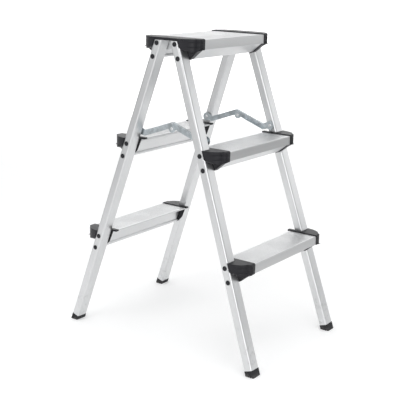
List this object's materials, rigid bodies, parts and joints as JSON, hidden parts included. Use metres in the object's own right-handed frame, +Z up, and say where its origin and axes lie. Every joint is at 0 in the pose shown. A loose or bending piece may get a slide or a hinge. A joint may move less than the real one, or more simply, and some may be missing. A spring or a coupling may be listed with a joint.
{
  "type": "step ladder",
  "caption": "Double-sided aluminium folding step ladder with level treads on both sides, a small platform, black plastic tread ends, rubber shoes and a folding steel stay on each side.",
  "frame": {"origin": "on the floor at the middle of the four feet", "axes": "+Z up; +Y from the front frame to the rear frame; +X to the right along the treads"},
  "size_m": [0.3632, 0.5406, 0.7023],
  "materials": {
    "aluminium": "satin anodised, fine lengthwise grain",
    "black_plastic": "fine moulded grain, low sheen",
    "shoe_rubber": "matt, slightly dusty at the sole",
    "zinc_steel": "bluish zinc plate on pressed steel",
    "steel": "bright plated fasteners"
  },
  "bodies": {
    "rear_frame": {"stile_rear_left": "aluminium", "stile_rear_right": "aluminium", "tread_rear_low": "aluminium", "tread_rear_mid": "aluminium", "tread_rear_top": "aluminium", "cap_rear_low_left": "black_plastic", "cap_rear_low_right": "black_plastic", "cap_rear_mid_left": "black_plastic", "cap_rear_mid_right": "black_plastic", "cap_rear_top_left": "black_plastic", "cap_rear_top_right": "black_plastic", "shoe_rear_left": "shoe_rubber", "shoe_rear_right": "shoe_rubber", "shoe_pin_rear_left": "steel", "shoe_pin_rear_right": "steel", "plugs_rear_left": "black_plastic", "plugs_rear_right": "black_plastic", "screws_rear_left": "steel", "screws_rear_right": "steel", "hinge_leaf_rear_left": "aluminium", "hinge_leaf_rear_right": "aluminium", "hinge_pin_left": "steel", "hinge_pin_right": "steel", "stay_spacer_rear_left": "zinc_steel", "stay_spacer_rear_right": "zinc_steel", "stay_rivet_rear_left": "steel", "stay_rivet_rear_right": "steel"},
    "front_frame": {"stile_front_left": "aluminium", "stile_front_right": "aluminium", "tread_front_low": "aluminium", "tread_front_mid": "aluminium", "tread_front_top": "aluminium", "cap_front_low_left": "black_plastic", "cap_front_low_right": "black_plastic", "cap_front_mid_left": "black_plastic", "cap_front_mid_right": "black_plastic", "cap_front_top_left": "black_plastic", "cap_front_top_right": "black_plastic", "shoe_front_left": "shoe_rubber", "shoe_front_right": "shoe_rubber", "shoe_pin_front_left": "steel", "shoe_pin_front_right": "steel", "plugs_front_left": "black_plastic", "plugs_front_right": "black_plastic", "screws_front_left": "steel", "screws_front_right": "steel", "hinge_leaf_front_left": "aluminium", "hinge_leaf_front_right": "aluminium"},
    "stay_rear_left": {"stay_link_rear_left": "zinc_steel", "stay_knuckle_left": "steel"},
    "stay_front_left": {"stay_link_front_left": "zinc_steel", "stay_spacer_front_left": "zinc_steel", "stay_rivet_front_left": "steel"},
    "stay_rear_right": {"stay_link_rear_right": "zinc_steel", "stay_knuckle_right": "steel"},
    "stay_front_right": {"stay_link_front_right": "zinc_steel", "stay_spacer_front_right": "zinc_steel", "stay_rivet_front_right": "steel"}
  },
  "joints": [
    {"name": "fold", "type": "hinge", "parent": "rear_frame", "child": "front_frame", "pos_m": [0, 0, 0.686], "axis": [1, 0, 0], "range_deg": [0, 37]},
    {"name": "stay_rear_pivot_left", "type": "hinge", "parent": "rear_frame", "child": "stay_rear_left", "pos_m": [-0.12919, 0.09324, 0.487], "axis": [1, 0, 0], "range_deg": [-47.04, 0]},
    {"name": "stay_knuckle_left", "type": "hinge", "parent": "stay_rear_left", "child": "stay_front_left", "pos_m": [-0.12919, 0, 0.502], "axis": [1, 0, 0], "range_deg": [0, 130.87]},
    {"name": "stay_rear_pivot_right", "type": "hinge", "parent": "rear_frame", "child": "stay_rear_right", "pos_m": [0.12919, 0.09324, 0.487], "axis": [1, 0, 0], "range_deg": [-47.04, 0]},
    {"name": "stay_knuckle_right", "type": "hinge", "parent": "stay_rear_right", "child": "stay_front_right", "pos_m": [0.12919, 0, 0.502], "axis": [1, 0, 0], "range_deg": [0, 130.87]}
  ],
  "couplings": [
    {"joint": "stay_rear_pivot_left", "follows": "fold", "ratio": -1.2658},
    {"joint": "stay_knuckle_left", "follows": "fold", "ratio": 3.5316},
    {"joint": "stay_rear_pivot_right", "follows": "fold", "ratio": -1.2658},
    {"joint": "stay_knuckle_right", "follows": "fold", "ratio": 3.5316}
  ]
}
